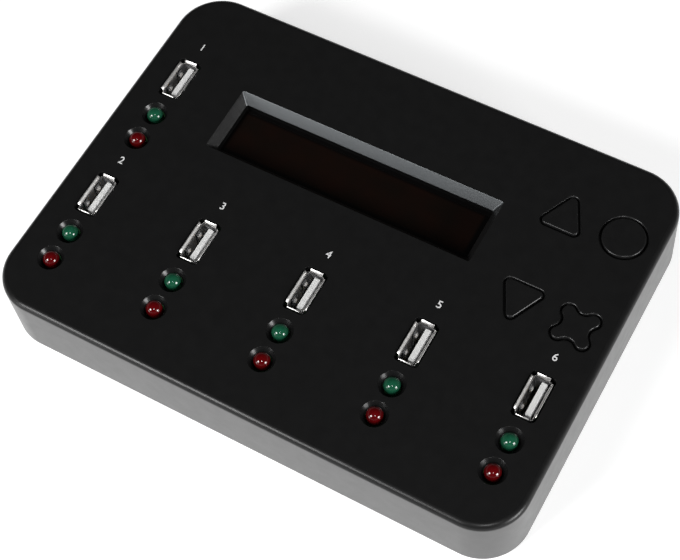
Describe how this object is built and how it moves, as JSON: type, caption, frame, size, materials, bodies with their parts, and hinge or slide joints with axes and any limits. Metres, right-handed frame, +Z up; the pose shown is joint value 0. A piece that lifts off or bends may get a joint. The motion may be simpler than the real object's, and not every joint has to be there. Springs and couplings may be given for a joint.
{
  "type": "usb flash drive duplicator",
  "caption": "Flat desktop memory stick duplicator with upright sockets, status lamps, a recessed character display and shaped push buttons.",
  "frame": {"origin": "under the middle of the box, on the surface that the rubber feet stand on", "axes": "+X along the row of sockets towards the buttons, +Y towards the rear wall with the power inlet, +Z up out of the face"},
  "size_m": [0.172, 0.1248, 0.0264],
  "materials": {
    "case_black": "fine satin moulding texture",
    "cap_black": "fine satin moulding texture",
    "window_red": "smooth gloss, dark red-brown tint",
    "shell_steel": "bright nickel plate on formed sheet",
    "tongue_white": "white insulator",
    "lamp_green": "tinted green resin, unlit",
    "lamp_red": "tinted red resin, unlit",
    "foot_rubber": "matt",
    "screw_steel": "zinc plated",
    "board_green": "solder mask",
    "frame_black": "satin black",
    "display_glass": "smooth gloss",
    "part_black": "matt",
    "can_blue": "shrunk sleeve"
  },
  "bodies": {
    "case": {"top_cover": "case_black", "bottom_cover": "case_black", "display_window": "window_red", "display_board": "board_green", "display_frame": "frame_black", "display_glass": "display_glass", "display_header": "part_black", "main_board": "board_green", "power_jack": "part_black", "controller_chip": "part_black", "memory_chip": "part_black", "supply_capacitor": "can_blue", "usb_shell_1": "shell_steel", "usb_shell_2": "shell_steel", "usb_shell_3": "shell_steel", "usb_shell_4": "shell_steel", "usb_shell_5": "shell_steel", "usb_shell_6": "shell_steel", "usb_tongue_1": "tongue_white", "usb_tongue_2": "tongue_white", "usb_tongue_3": "tongue_white", "usb_tongue_4": "tongue_white", "usb_tongue_5": "tongue_white", "usb_tongue_6": "tongue_white", "lamp_green_1": "lamp_green", "lamp_green_2": "lamp_green", "lamp_green_3": "lamp_green", "lamp_green_4": "lamp_green", "lamp_green_5": "lamp_green", "lamp_green_6": "lamp_green", "lamp_red_1": "lamp_red", "lamp_red_2": "lamp_red", "lamp_red_3": "lamp_red", "lamp_red_4": "lamp_red", "lamp_red_5": "lamp_red", "lamp_red_6": "lamp_red", "switch_body_back": "part_black", "switch_body_round": "part_black", "switch_body_forward": "part_black", "switch_body_cross": "part_black", "rubber_foot_1": "foot_rubber", "rubber_foot_2": "foot_rubber", "rubber_foot_3": "foot_rubber", "rubber_foot_4": "foot_rubber", "case_screw_1": "screw_steel", "case_screw_2": "screw_steel", "case_screw_3": "screw_steel", "case_screw_4": "screw_steel", "board_screw_1": "screw_steel", "board_screw_2": "screw_steel", "board_screw_3": "screw_steel", "board_screw_4": "screw_steel"},
    "back_button": {"button_back": "cap_black", "switch_plunger_back": "part_black"},
    "round_button": {"button_round": "cap_black", "switch_plunger_round": "part_black"},
    "forward_button": {"button_forward": "cap_black", "switch_plunger_forward": "part_black"},
    "cross_button": {"button_cross": "cap_black", "switch_plunger_cross": "part_black"}
  },
  "joints": [
    {"name": "back_button_press", "type": "slide", "parent": "case", "child": "back_button", "axis": [0, 0, -1], "range_m": [0, 0.0004], "stiffness_N_per_m": 4000},
    {"name": "round_button_press", "type": "slide", "parent": "case", "child": "round_button", "axis": [0, 0, -1], "range_m": [0, 0.0004], "stiffness_N_per_m": 4000},
    {"name": "forward_button_press", "type": "slide", "parent": "case", "child": "forward_button", "axis": [0, 0, -1], "range_m": [0, 0.0004], "stiffness_N_per_m": 4000},
    {"name": "cross_button_press", "type": "slide", "parent": "case", "child": "cross_button", "axis": [0, 0, -1], "range_m": [0, 0.0004], "stiffness_N_per_m": 4000}
  ]
}
